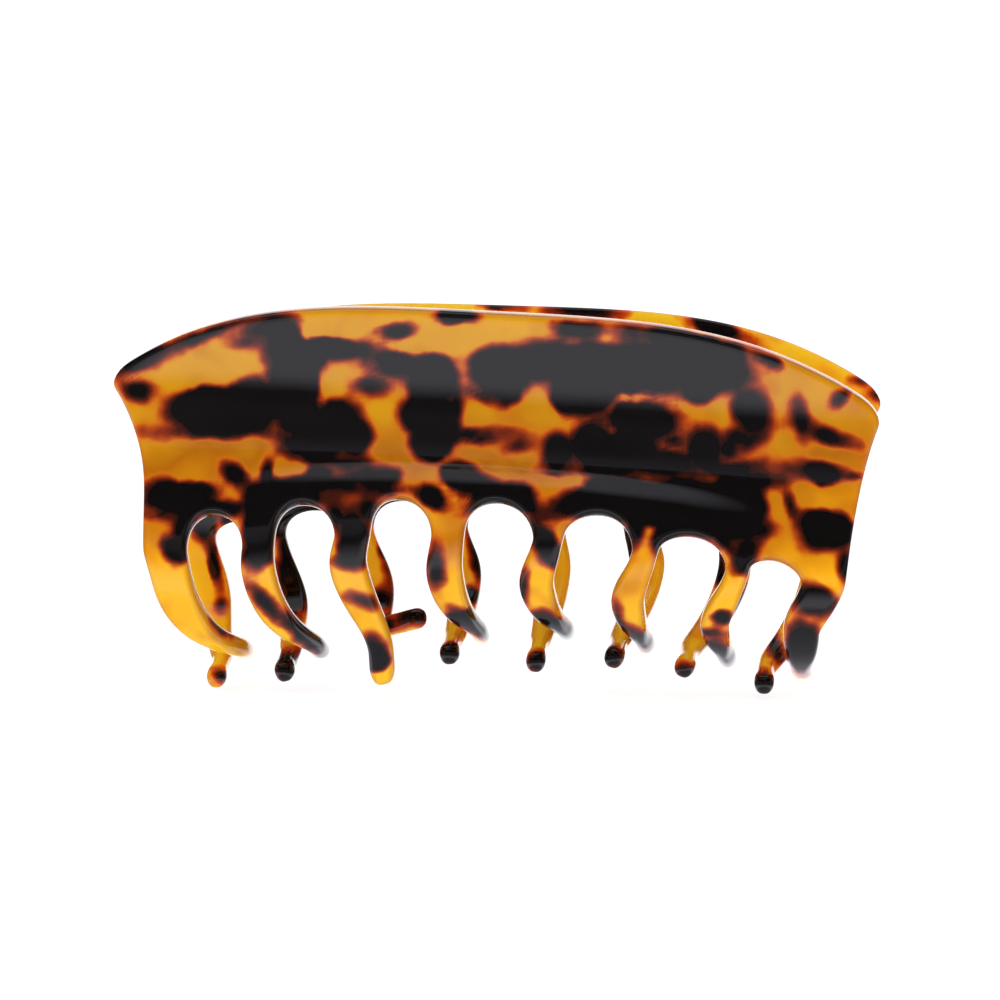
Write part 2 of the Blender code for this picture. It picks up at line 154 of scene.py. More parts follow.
# The dark patches in the sheet: middle (x, z), half width, half height and tilt.
FRONT_PATCHES = (
    # The left third of the plate, top to bottom.
    (-50.2, 47.5, 3.0, 1.1, 20), (-47.2, 48.9, 2.0, 0.6, 14), (-50.0, 43.6, 1.7, 1.0, 0),
    (-40.5, 40.9, 5.4, 3.0, 3), (-34.0, 41.6, 4.6, 3.5, 18), (-28.0, 44.0, 3.5, 4.6, 0),
    (-29.3, 50.0, 2.5, 3.2, 0), (-31.6, 52.5, 3.6, 1.3, 12), (-34.2, 50.4, 0.9, 0.3, 5),
    (-22.5, 49.6, 5.0, 1.2, -3), (-26.8, 47.3, 2.4, 3.0, 0), (-21.5, 39.2, 2.9, 3.5, 0),
    (-25.2, 36.0, 4.0, 1.7, 0), (-25.6, 40.2, 1.5, 2.6, 0), (-28.5, 39.0, 1.6, 0.5, 0),
    (-19.4, 37.2, 2.6, 2.4, 0), (-45.3, 28.4, 4.4, 2.2, -8), (-41.4, 29.2, 2.2, 1.3, 0),
    (-46.8, 25.9, 1.3, 0.4, 0), (-36.6, 32.1, 1.6, 1.0, -30), (-31.2, 29.2, 3.4, 1.6, 0),
    (-31.6, 32.0, 0.6, 1.2, 0), (-27.0, 30.2, 4.2, 1.3, 0), (-24.2, 31.8, 1.5, 1.2, 0),
    (-19.8, 33.5, 1.6, 0.7, 0), (-24.5, 34.2, 1.5, 0.4, 0), (-17.0, 31.4, 3.4, 1.4, 5),
    (-39.5, 37.7, 5.0, 0.5, 0), (-17.5, 29.8, 4.0, 0.6, 0), (-26.0, 28.5, 3.6, 0.8, 0),
    (-23.0, 30.6, 3.2, 0.7, 0), (-24.2, 47.8, 0.6, 0.7, 0), (-41.5, 51.1, 6.4, 0.4, 20),
    # Round the tops of the gaps.
    (-38.8, 26.9, 3.6, 0.9, 0), (-29.3, 27.0, 1.5, 1.5, 20), (-21.9, 26.2, 1.3, 1.9, 10),
    (-17.4, 26.8, 1.3, 1.5, 0), (-1.4, 27.7, 1.6, 0.6, 25), (3.2, 28.1, 2.6, 0.8, -12),
    (15.5, 26.9, 4.2, 0.9, -6),
    # The middle third.
    (-16.8, 44.6, 2.0, 0.9, 0), (-13.0, 47.7, 3.8, 1.2, -10), (-8.2, 45.4, 3.6, 3.5, 0),
    (-8.8, 40.6, 3.7, 3.0, 0), (-8.3, 36.3, 2.7, 2.3, 0), (-4.9, 54.4, 2.2, 1.0, 0),
    (-13.3, 52.0, 1.7, 0.8, 0), (-2.6, 37.9, 2.1, 0.3, 0), (1.4, 46.7, 4.5, 3.3, 0),
    (2.6, 43.6, 1.4, 1.6, 0), (7.2, 47.9, 4.6, 2.8, 0), (12.0, 52.3, 2.4, 1.0, -5),
    (13.4, 45.6, 4.4, 5.0, 0), (10.2, 42.2, 1.3, 0.9, -45), (3.5, 36.0, 1.0, 0.4, 10),
    (9.4, 35.5, 2.0, 2.5, 0), (-3.9, 31.7, 2.9, 1.8, -18), (1.0, 29.9, 3.6, 1.2, -5),
    (4.2, 29.2, 1.4, 1.1, 0), (-8.0, 28.7, 2.0, 1.1, -40), (13.0, 28.5, 3.3, 1.6, 8),
    (14.2, 36.4, 2.7, 3.2, 0), (-1.5, 37.0, 2.0, 0.4, 0), (-4.8, 41.0, 0.6, 2.6, 0),
    (-14.0, 46.6, 2.4, 0.5, -8), (11.4, 27.3, 2.6, 0.4, 15), (-1.4, 43.2, 1.4, 0.5, -20),
    # The right third.
    (22.4, 47.6, 7.8, 3.2, 0), (31.0, 47.2, 5.4, 2.8, -10), (29.2, 44.4, 2.4, 1.8, 0),
    (26.3, 51.0, 7.4, 1.2, -10), (36.5, 41.0, 2.3, 3.2, 8), (34.6, 37.6, 1.5, 1.2, 0),
    (21.5, 39.8, 5.0, 2.4, -5), (19.0, 35.9, 4.5, 2.2, 0), (24.5, 34.2, 4.2, 1.6, 0),
    (18.0, 32.9, 3.8, 0.5, 0), (30.0, 36.0, 2.3, 3.2, 0), (33.4, 36.0, 1.2, 1.4, -20),
    (26.0, 28.5, 7.6, 3.2, 0), (18.0, 29.6, 4.6, 2.2, 0), (34.6, 27.4, 4.0, 4.6, 0),
    (29.5, 24.8, 3.6, 1.1, 0), (37.6, 24.8, 1.3, 0.8, 0), (36.6, 31.5, 2.5, 1.1, 0),
    (38.6, 48.4, 1.5, 0.5, -20), (43.3, 40.1, 0.9, 2.1, 12), (47.2, 37.8, 2.8, 0.8, -20),
    (49.0, 43.3, 0.8, 0.3, 45), (45.6, 33.0, 3.4, 1.1, -5), (46.2, 31.8, 0.5, 0.6, 0),
    (48.9, 32.3, 1.1, 0.1, 0), (42.0, 28.0, 0.2, 0.9, 15), (47.2, 24.8, 3.9, 2.7, -5),
    (49.9, 20.0, 1.1, 1.8, 0), (36.2, 37.0, 1.6, 0.6, 35), (33.8, 33.2, 3.0, 0.5, 5),
    (25.6, 37.0, 1.1, 0.7, 0), (22.5, 44.3, 3.4, 0.3, 0), (33.2, 22.6, 1.6, 0.5, -40),
    # The teeth, left to right.
    (-43.6, 24.2, 1.2, 3.3, -12), (-44.9, 21.1, 1.6, 1.3, -35), (-38.4, 10.0, 0.9, 0.3, -42),
    (-32.8, 24.0, 2.3, 4.9, 0), (-32.9, 20.3, 1.8, 0.9, 0), (-32.2, 13.9, 2.0, 0.8, -48),
    (-25.8, 8.9, 3.7, 1.4, -42), (-19.6, 23.6, 2.0, 4.2, 0), (-19.7, 19.5, 1.7, 0.6, 0),
    (-17.8, 14.0, 1.3, 0.6, -15), (-16.6, 6.8, 1.9, 2.4, 20), (-7.7, 19.2, 1.0, 2.3, 0),
    (-4.8, 12.0, 1.0, 0.6, 0), (-1.6, 10.9, 3.0, 1.2, -30), (7.8, 22.3, 3.2, 1.5, -58),
    (4.5, 15.6, 0.5, 1.7, 0), (6.6, 11.6, 1.2, 0.7, 0), (9.6, 10.6, 2.8, 1.2, -30),
    (20.4, 25.0, 0.9, 2.2, -10), (24.4, 23.0, 1.5, 2.2, -20), (18.1, 11.4, 0.2, 0.8, 10),
    (21.2, 9.0, 2.4, 1.0, -25), (32.7, 12.3, 1.1, 0.7, 0), (35.9, 21.6, 1.5, 2.6, -15),
    (30.6, 10.1, 0.4, 0.1, 0), (32.4, 7.2, 2.9, 1.3, -25), (45.2, 14.9, 2.8, 2.0, -15),
    (43.8, 8.4, 2.1, 3.4, 0),
)
# The back jaw's patches that show from the front, in the same way.
BACK_PATCHES = (
    # Its top edge.
    (1.6, 56.0, 1.6, 0.5, 0), (13.2, 55.4, 4.2, 1.2, -5), (31.9, 52.6, 3.2, 0.9, -18),
    (52.0, 45.6, 0.4, 0.2, 0), (54.9, 40.4, 0.3, 0.4, 0),
    # The teeth seen through the gaps, left to right.
    (-40.6, 24.8, 1.3, 2.0, 0), (-39.4, 19.4, 0.5, 1.7, 10), (-38.4, 13.2, 0.4, 0.5, 0),
    (-36.8, 25.6, 0.6, 0.9, 0), (-27.4, 19.4, 2.6, 6.6, 0), (-15.0, 21.6, 0.5, 3.8, 12),
    (-15.8, 14.4, 1.2, 0.8, 0), (-2.0, 22.0, 0.8, 3.4, 8), (-2.8, 14.8, 0.8, 1.1, 10),
    (34.8, 14.2, 0.5, 1.8, -25), (19.2, 23.6, 0.8, 3.0, 12), (32.0, 19.2, 0.5, 2.8, 10),
    # The hooked tooth, and the round ends.
    (-15.0, 10.7, 1.2, 0.6, 0), (-10.8, 12.0, 2.4, 0.9, 10), (-38.2, 3.0, 0.9, 0.5, -30),
    (-28.7, 4.4, 1.8, 2.2, 0), (-5.6, 6.8, 1.6, 1.2, 0), (6.9, 5.7, 1.6, 1.2, 0),
    (17.2, 6.4, 1.8, 1.5, 0), (27.4, 4.8, 1.6, 0.9, 0), (38.4, 3.0, 1.6, 1.6, 0),
    (39.8, 8.6, 0.6, 2.2, 25),
)
# How readily close patches run together, and how far each spreads past its outline.
PATCH_MERGE = 2.2
PATCH_GROWTH = 0.35
# How fast a patch deepens inside its outline, how deep it gets, and where it stops counting outside.
PATCH_SLOPE = 1.2
PATCH_DEEPEST = 3.0
PATCH_FARTHEST = -8.0
# Their outlines are given at the front jaw's face. As they go back from it they lean,
# and they draw in towards a far point straight behind PATCH_CENTRE.
PATCH_FACE = -12.0
PATCH_CENTRE = (1.4, 28.5)
PATCH_LEAN = (0.114, 0.084)
PATCH_VANISH = 588.0
# Which of the front jaw's patches the back jaw repeats, where it is hidden in front.
REPEAT_LOW, REPEAT_HIGH = 26.0, 48.0
REPEAT_SHIFT = 5.0

# Amber of the front and back jaws, from the tips up to the crest. The back jaw's amber is painted lighter
# at its teeth and along its top, as painted light where it lies in shade between the jaws.
FRONT_TONES = (
    (0.10, (1.00, 0.56, 0.014)),
    (0.34, (0.96, 0.48, 0.010)),
    (0.48, (0.64, 0.245, 0.004)),
    (0.62, (0.48, 0.150, 0.003)),
    (0.80, (0.66, 0.310, 0.006)),
    (1.00, (0.71, 0.370, 0.009)),
)
BACK_AMBER_AND_PAINTED_LIGHT = (
    (0.10, (1.00, 0.56, 0.018)),
    (0.45, (1.00, 0.56, 0.018)),
    (0.62, (0.60, 0.230, 0.006)),
    (0.80, (0.95, 0.560, 0.020)),
    (1.00, (1.00, 0.620, 0.030)),
)

# How far noise moves the patches' borders, in millimetres, and how soft it leaves them.
BROAD_WANDER = 1.7
FINE_WANDER = 0.25
SOFTNESS = 3.0
SHARPEST, SOFTEST = 0.45, 1.5
BORDER_STEEPNESS = 0.25
# The borders' colours, from the amber side to the near black of a patch's middle.
BORDER_TONES = (
    (0.34, (0.66, 0.190, 0.006)),
    (0.42, (0.50, 0.075, 0.006)),
    (0.49, (0.24, 0.026, 0.005)),
    (0.56, (0.070, 0.010, 0.004)),
    (0.66, (0.004, 0.003, 0.003)),
)
BORDER_STARTS, BORDER_FULL = 0.24, 0.42
HAZE_COLOUR = (0.50, 0.130, 0.005)
HAZE_STARTS, HAZE_FULL = 0.55, 0.78
HAZE_MOST = 0.50
# Painted shade along the rounded edges: there the amber is darkened towards this brown, by at most this
# share.
EDGE_SHADE_COLOUR = (0.32, 0.085, 0.004)
EDGE_SHADE_AMOUNT = 0.65
# How much light enters each jaw's sheet, and how far it spreads there, in millimetres. The
# back jaw has the light behind it, so its teeth glow more.
FRONT_GLOW, FRONT_REACH = 0.55, 3.5
BACK_GLOW, BACK_REACH = 0.90, 7.0
# The height over which the amber changes tone, and how far clouds shift it.
TONE_HEIGHT = 56.0
TONE_DRIFT = 30.0
# How deep hand polishing leaves the sheet wavy, and how deep the marks on drawn metal are.
POLISH_WAVE = 0.4
DRAWN_MARK = 0.02
BLACK = (0.0, 0.0, 0.0)
WHITE = (1.0, 1.0, 1.0)

# What the polished surfaces mirror: (sine of the height above the horizon, brightness).
MIRRORED_BANDS = (
    (-1.0, 0.5), (-0.62, 0.5), (-0.50, 1.25), (-0.38, 1.15), (-0.25, 0.45), (-0.17, 0.08), (-0.08, 0.08),
    (-0.03, 0.22), (0.12, 0.30), (0.15, 0.04), (0.75, 0.04), (0.88, 0.75), (1.0, 0.75),
)
MIRRORED_TINT = (0.97, 0.96, 1.07)
# A ramp holds no more than 1, so the bands are divided by this and the world's strength restores it.
MIRRORED_STRENGTH = 4.0
SOFT_STRENGTH = 1.05
# The white straight behind the clip: its brightness, and the sines between which it comes in.
BEHIND_LIGHT = 1.8
BEHIND_STARTS, BEHIND_FULL = 0.82, 0.92

# The spring, as in the CAD: wire and coil radii, turns, pitch, start and leg.
PIN_HEIGHT = 38.1
WIRE_RADIUS = 0.45
COIL_RADIUS = 2.1
COIL_TURNS = 11
COIL_PITCH = 1.15
COIL_START = -20.0
LEG_UP = 6.2
SEAT_DOWN = 17.0
LEG_GAP = 0.1
SPRING_STEPS = 36
WIRE_SIDES = 12

# The table, in metres, and how much light of its own keeps it white.
FLOOR_HALF = 3.0
FLOOR_GLOW = 0.85

# The camera.
CAMERA_TURN = 6.5
CAMERA_RISE = 4.8
CAMERA_FAR = 0.600
FRAME_WIDTH = 0.143
SENSOR = 36.0
TARGET = (0.0, 0.0, 0.0275)


def ease(low, high, value):
    """Rises smoothly from 0 at low to 1 at high."""
    t = min(max((value - low) / (high - low), 0.0), 1.0)
    return t * t * (3 - 2 * t)


def angle_at(bends, along, curl=1.0):
    """The angle that a list of (distance, degrees) gives at a distance along it."""
    degrees = bends[-1][1]
    for (a, start), (b, end) in zip(bends, bends[1:]):
        if along <= b:
            degrees = start + (end - start) * (along - a) / (b - a)
            break
    if degrees > 0 and along > NECK_DOWN:
        degrees *= curl
    return math.radians(degrees)


def bent_line(bends, curl=1.0):
    """Distance out from the clip's middle, and height, at each small step down the sheet."""
    step = 1.0 / STEPS_PER_MM
    out, height = CREST_OUT, CREST_HEIGHT
    line = [(out, height)]
    for i in range(int(bends[-1][0] * STEPS_PER_MM)):
        angle = angle_at(bends, (i + 0.5) * step, curl)
        out -= math.sin(angle) * step
        height -= math.cos(angle) * step
        line.append((out, height))
    return line


def place_on(line, down):
    """The place on a bent line, between two of its steps, at a distance down it."""
    at = min(max(down * STEPS_PER_MM, 0.0), len(line) - 1.001)
    i = int(at)
    t = at - i
    return tuple(a + (b - a) * t for a, b in zip(line[i], line[i + 1]))


def bend(line, jaw, across, down, neck_across):
    """The place on the bent sheet's middle, seen from outside the jaw."""
    out, height = place_on(line, down)
    arch = max(1 - (neck_across / ARCH_HALF) ** 2, 0.0)
    height += jaw["lift"] * arch * ease(LIFT_FROM, LIFT_TO, down)
    height -= math.tan(math.radians(jaw["slope"])) * neck_across * (1 - ease(SLOPE_FROM, SLOPE_TO, down))
    return Vector((across, -out, height)) * MM


def rim_at(down):
    """The radius to which the sheet's edge is rounded, at a distance down it."""
    rim = RIM_TOP + (RIM_GAP - RIM_TOP) * ease(5.0, GAP_TOP_DOWN, down)
    return rim + (RIM_TIP - RIM_GAP) * ease(42.0, 58.0, down)


def waist(jaw, tip, along):
    """How much narrower a tooth is just before its end, which leaves the end a round bead."""
    to_end = tip[1] - along
    above = 1 - ease(WAIST_TOP - WAIST_EASE, WAIST_TOP, to_end)
    return 1 - jaw["pinch"] * above * ease(BEAD, BEAD + BEAD_EASE, to_end)


def tooth_width(row, tip, along):
    """The flat part of a tooth's width, inside its rounded edges."""
    width = row[1] + (row[3] - row[1]) * ease(NECK_DOWN, row[4], along)
    width += (tip[3] - width) * ease(row[4] - 1, tip[1] - TAPER_END, along)
    return max(width - 2 * rim_at(along), LEAST_FLAT)


def tooth_line(row, tip, turns):
    """The middle line of a tooth on the blank: (across, down) at each small step along it."""
    step = 1.0 / STEPS_PER_MM
    down, side = NECK_DOWN, 0.0
    line = []
    for i in range(int(NECK_DOWN * STEPS_PER_MM), int(tip[1] * STEPS_PER_MM) + 2):
        along = i * step
        centre = row[0] + (row[2] - row[0]) * ease(NECK_DOWN - 1, row[4], along)
        centre += (tip[0] - row[2]) * ease(row[4] - 2, tip[1] - 5, along)
        line.append((centre + side, down))
        turn = angle_at(turns, along)
        down += math.cos(turn) * step
        side -= math.sin(turn) * step
    return line


def tooth_point(row, tip, line, along, share, narrow):
    """A place on the blank: along a tooth, and share of its width to one side."""
    i = min(int((along - NECK_DOWN) * STEPS_PER_MM), len(line) - 2)
    (x0, y0), (x1, y1) = line[max(i - 1, 0)], line[i + 1]
    long = math.hypot(x1 - x0, y1 - y0)
    width = tooth_width(row, tip, along) * share * narrow
    # Near the neck the rows stay level, so that they meet the plate's lower edge.
    square = ease(NECK_DOWN, NECK_DOWN + 6, along)
    x, y = line[i]
    return x + width * (1 + ((y1 - y0) / long - 1) * square), y - width * (x1 - x0) / long * square


def neck_columns():
    """Each column of the plate as (across, down, tooth) at its lower end; tooth is None above a gap."""
    columns = []
    rim = rim_at(NECK_DOWN)
    for i, row in enumerate(TEETH):
        for k in range(TOOTH_COLUMNS):
            share = k / (TOOTH_COLUMNS - 1) - 0.5
            columns.append((row[0] + share * (row[1] - 2 * rim), NECK_DOWN, i))
        if i + 1 == len(TEETH):
            break
        after = TEETH[i + 1]
        low = row[0] + row[1] / 2 - rim
        high = after[0] - after[1] / 2 + rim
        lower, lean = GAP_TOPS[i]
        rise = NECK_DOWN - GAP_TOP_DOWN - lower + rim
        for k in range(1, GAP_COLUMNS + 1):
            angle = math.pi * (1 - k / (GAP_COLUMNS + 1))
            across = (low + high) / 2 + (high - low) / 2 * math.cos(angle) + lean * math.sin(angle) ** 2
            columns.append((across, NECK_DOWN - rise * math.sin(angle), None))
    return columns


def plate_point(column, share):
    """A place on the blank, share of the way from the neck line up to the top edge."""
    across, low, tooth = column
    at_top = across
    side = None
    if tooth in (0, len(TEETH) - 1):
        row = TEETH[tooth]
        corner, straight = (RIGHT_END, RIGHT_STRAIGHT) if tooth else (LEFT_END, LEFT_STRAIGHT)
        corner -= math.copysign(RIM_TOP, corner)
        half = math.copysign(row[1] / 2 - rim_at(NECK_DOWN), row[0])
        inner, outer = row[0] - half, row[0] + half
        part = (across - inner) / (outer - inner)
        run = straight * share + (1 - straight) * share**3
        side = outer + (corner - outer) * run
        across = inner + part * (side - inner)
        at_top = inner + part * (corner - inner)
    end = RIGHT_END if at_top > 0 else LEFT_END
    top = CORNER_DROP * abs(at_top / end) ** TOP_EDGE_POWER + RIM_TOP
    down = low + (top - low) * share
    if side is not None:
        across, down = rounded_corner(across, down, side, top)
    return across, down


def rounded_corner(across, down, side, top):
    """Draws a place near a top corner in, so that the corner becomes a quarter round."""
    u = 1 - abs(side - across) / CORNER_RADIUS
    v = 1 - (down - top) / CORNER_RADIUS
    if u <= 0 or v <= 0:
        return across, down
    drawn_u = u * math.sqrt(1 - v * v / 2)
    drawn_v = v * math.sqrt(1 - u * u / 2)
    across -= math.copysign((u - drawn_u) * CORNER_RADIUS, side)
    return across, down + (v - drawn_v) * CORNER_RADIUS


def add_tooth(bm, rims, jaw, i, columns, above):
    """The strip of sheet that makes tooth i, below the plate's own lowest points."""
    row, tip = TEETH[i], jaw["tips"][i]
    odd = i == jaw["odd_tooth"]
    line = bent_line(jaw["odd_bends"] if odd else BENDS, tip[2])
    middle = tooth_line(row, tip, jaw["odd_turns"] if odd else NO_TURNS)
    end = tip[1] - rim_at(tip[1])
    for r in range(1, TOOTH_ROWS + 1):
        along = NECK_DOWN + (end - NECK_DOWN) * r / TOOTH_ROWS
        narrow = waist(jaw, tip, along)
        below = []
        for n, column in enumerate(columns):
            across, down = tooth_point(row, tip, middle, along, n / (TOOTH_COLUMNS - 1) - 0.5, narrow)
            below.append(bm.verts.new(bend(line, jaw, across, down, column[0])))
            rims.append(rim_at(along) * narrow)
        for n in range(TOOTH_COLUMNS - 1):
            bm.faces.new((below[n], below[n + 1], above[n + 1], above[n]))
        above = below


def middle_surface(jaw):
    """The sheet's middle inside its rounded edges, and the edge's radius at each of its points."""
    bm = bmesh.new()
    rims = []
    plain = bent_line(BENDS)
    columns = neck_columns()
    grid = []
    for column in columns:
        line = []
        for k in range(PLATE_ROWS + 1):
            across, down = plate_point(column, k / PLATE_ROWS)
            line.append(bm.verts.new(bend(plain, jaw, across, down, column[0])))
            rims.append(rim_at(down))
        grid.append(line)
    for left, right in zip(grid, grid[1:]):
        for k in range(PLATE_ROWS):
            bm.faces.new((left[k], right[k], right[k + 1], left[k + 1]))
    for i in range(len(TEETH)):
        own = [k for k, column in enumerate(columns) if column[2] == i]
        add_tooth(bm, rims, jaw, i, [columns[k] for k in own], [grid[k][0] for k in own])
    bm.normal_update()
    bm.verts.index_update()
    return bm, rims


def rim_profile(rim):
    """(outwards, towards the outer face) down the edge: a quarter round, a flat, a quarter round."""
    half = SHEET / 2
    turns = [math.pi / 2 * k / RIM_STEPS for k in range(1, RIM_STEPS + 1)]
    upper = [(rim * math.sin(a), half - rim + rim * math.cos(a)) for a in turns]
    return upper + [(out, -up) for out, up in reversed(upper)]


def thickened(middle, rims):
    """The solid sheet round its middle surface, with a rounded edge."""
    bm = bmesh.new()
    # Each point's place round the rounded edge, 0 on the faces and 1 midway round, for the painted shade
    # along the edges.
    edge_shade_weight = bm.verts.layers.float.new("edge")
    half = SHEET / 2 * MM
    outer = [bm.verts.new(v.co + v.normal * half) for v in middle.verts]
    inner = [bm.verts.new(v.co - v.normal * half) for v in middle.verts]
    for face in middle.faces:
        ids = [v.index for v in face.verts]
        bm.faces.new([outer[i] for i in ids])
        bm.faces.new([inner[i] for i in reversed(ids)])
    border = [loop for face in middle.faces for loop in face.loops if loop.edge.is_boundary]
    outwards = {}
    for loop in border:
        a, b = loop.vert, loop.link_loop_next.vert
        away = (b.co - a.co).cross(loop.face.normal).normalized()
        outwards[a] = outwards.get(a, Vector()) + away
        outwards[b] = outwards.get(b, Vector()) + away
    edge = {}
    for v, away in outwards.items():
        away = away.normalized()
        points = [v.co + (away * out + v.normal * up) * MM for out, up in rim_profile(rims[v.index])]
        edge[v] = [outer[v.index]] + [bm.verts.new(p) for p in points] + [inner[v.index]]
        for k, vert in enumerate(edge[v]):
            vert[edge_shade_weight] = math.sin(math.pi * k / (len(edge[v]) - 1))
    for loop in border:
        first, second = edge[loop.vert], edge[loop.link_loop_next.vert]
        for k in range(len(first) - 1):
            bm.faces.new((second[k], first[k], first[k + 1], second[k + 1]))
    return bm


def smoothed(bm, levels):
    """The mesh after subdivision, with smooth shading."""
    rough = bpy.data.meshes.new("rough")
    bm.to_mesh(rough)
    bm.free()
    obj = bpy.data.objects.new("rough", rough)
    bpy.context.scene.collection.objects.link(obj)
    smooth = obj.modifiers.new("smooth", "SUBSURF")
    smooth.levels = levels
    smooth.render_levels = levels
    bpy.context.view_layer.update()
    made = bpy.data.meshes.new_from_object(obj.evaluated_get(bpy.context.evaluated_depsgraph_get()))
    bpy.data.objects.remove(obj, do_unlink=True)
    for polygon in made.polygons:
        polygon.use_smooth = True
    return made


def patch_depth(points, patches):
    """How deep each point lies in the nearest patch, in millimetres, and below zero outside them all."""
    back = points[:, 1] - PATCH_FACE
    shrink = PATCH_VANISH / (PATCH_VANISH + back)
    across = PATCH_CENTRE[0] + (points[:, 0] - PATCH_CENTRE[0] + back * PATCH_LEAN[0]) * shrink
    up = PATCH_CENTRE[1] + (points[:, 2] - PATCH_CENTRE[1] + back * PATCH_LEAN[1]) * shrink
    total = np.full(len(points), math.exp(PATCH_FARTHEST * PATCH_MERGE))
    for x, z, wide, high, tilt in patches:
        turn = math.radians(tilt)
        dx, dz = across - x, up - z
        major = (dx * math.cos(turn) + dz * math.sin(turn)) / wide
        minor = (dz * math.cos(turn) - dx * math.sin(turn)) / high
        reach = np.sqrt(major**2 + minor**2)
        depth = np.minimum((1 - reach) * min(wide, high) * PATCH_SLOPE, PATCH_DEEPEST) + PATCH_GROWTH
        total += np.exp(np.maximum(depth, PATCH_FARTHEST) * PATCH_MERGE)
    return np.log(total) / PATCH_MERGE


def paint(mesh, patches):
    """Stores the depth in the dark patches on the mesh, for its material."""
    points = np.empty(len(mesh.vertices) * 3, np.float32)
    mesh.vertices.foreach_get("co", points)
    depth = patch_depth(points.reshape(-1, 3) / MM, patches)
    stored = mesh.attributes.new("patch_depth", "FLOAT", "POINT")
    stored.data.foreach_set("value", depth.astype(np.float32))


def jaw_piece(name, body, shape, node, patches, turned, look):
    """Builds one jaw, paints its patches, and puts it on its body in place of its CAD node."""
    middle, rims = middle_surface(shape)
    solid = thickened(middle, rims)
    middle.free()
    if turned:
        bmesh.ops.rotate(solid, verts=solid.verts, matrix=HALF_TURN)
    mesh = smoothed(solid, 1)
    mesh.name = name
    paint(mesh, patches)
    mesh.materials.append(look)
    obj = bpy.data.objects.new(name, mesh)
    bpy.context.scene.collection.objects.link(obj)
    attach(obj, body)
    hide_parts(node)
    return obj



class Nodes:
    """A short way to add and join a material's nodes."""

    def __init__(self, tree):
        self.tree = tree

    def add(self, kind, **settings):
        node = self.tree.nodes.new(kind)
        for key, value in settings.items():
            setattr(node, key, value)
        return node

    def join(self, a, b):
        self.tree.links.new(a, b)

    def maths(self, operation, a, b=0.0, c=None):
        node = self.add("ShaderNodeMath", operation=operation)
        for socket, value in zip(node.inputs, (a, b, c)):
            if value is None:
                continue
            if isinstance(value, (int, float)):
                socket.default_value = value
            else:
                self.join(value, socket)
        return node.outputs[0]

    def swing(self, value, middle, amount, base):
        """base, moved by amount times how far value is from middle."""
        return self.maths("MULTIPLY_ADD", self.maths("SUBTRACT", value, middle), amount, base)

    def noise(self, where, scale, detail=2.0, rough=0.5):
        node = self.add("ShaderNodeTexNoise")
        node.inputs["Scale"].default_value = scale
        node.inputs["Detail"].default_value = detail
        node.inputs["Roughness"].default_value = rough
        self.join(where, node.inputs["Vector"])
        return node.outputs["Fac"]

    def bump(self, height, strength, depth, shader):
        """Gives the shader a surface that rises and falls with height."""
        node = self.add("ShaderNodeBump")
        node.inputs["Strength"].default_value = strength
        node.inputs["Distance"].default_value = depth
        self.join(height, node.inputs["Height"])
        self.join(node.outputs["Normal"], shader.inputs["Normal"])

    def ramp(self, value, stops, kind="LINEAR"):
        node = self.add("ShaderNodeValToRGB")
        node.color_ramp.interpolation = kind
        points = node.color_ramp.elements
        while len(points) < len(stops):
            points.new(0.5)
        for point, (at, colour) in zip(points, stops):
            point.position = at
            point.color = (*colour, 1.0) if len(colour) == 3 else colour
        self.join(value, node.inputs["Fac"])
        return node.outputs["Color"]

    def mix(self, share, a, b):
        node = self.add("ShaderNodeMix", data_type="RGBA")
        for socket, value in ((node.inputs["Factor"], share), (node.inputs[6], a), (node.inputs[7], b)):
            if isinstance(value, (int, float)):
                socket.default_value = value
            elif isinstance(value, tuple):
                socket.default_value = (*value, 1.0)
            else:
                self.join(value, socket)
        return node.outputs[2]


def new_material(name):
    """A material, a way to add to its nodes, and its shader."""
    made = bpy.data.materials.new(name)
    made.use_nodes = True
    nodes = Nodes(made.node_tree)
    shader = made.node_tree.nodes["Principled BSDF"]
    return made, nodes, shader


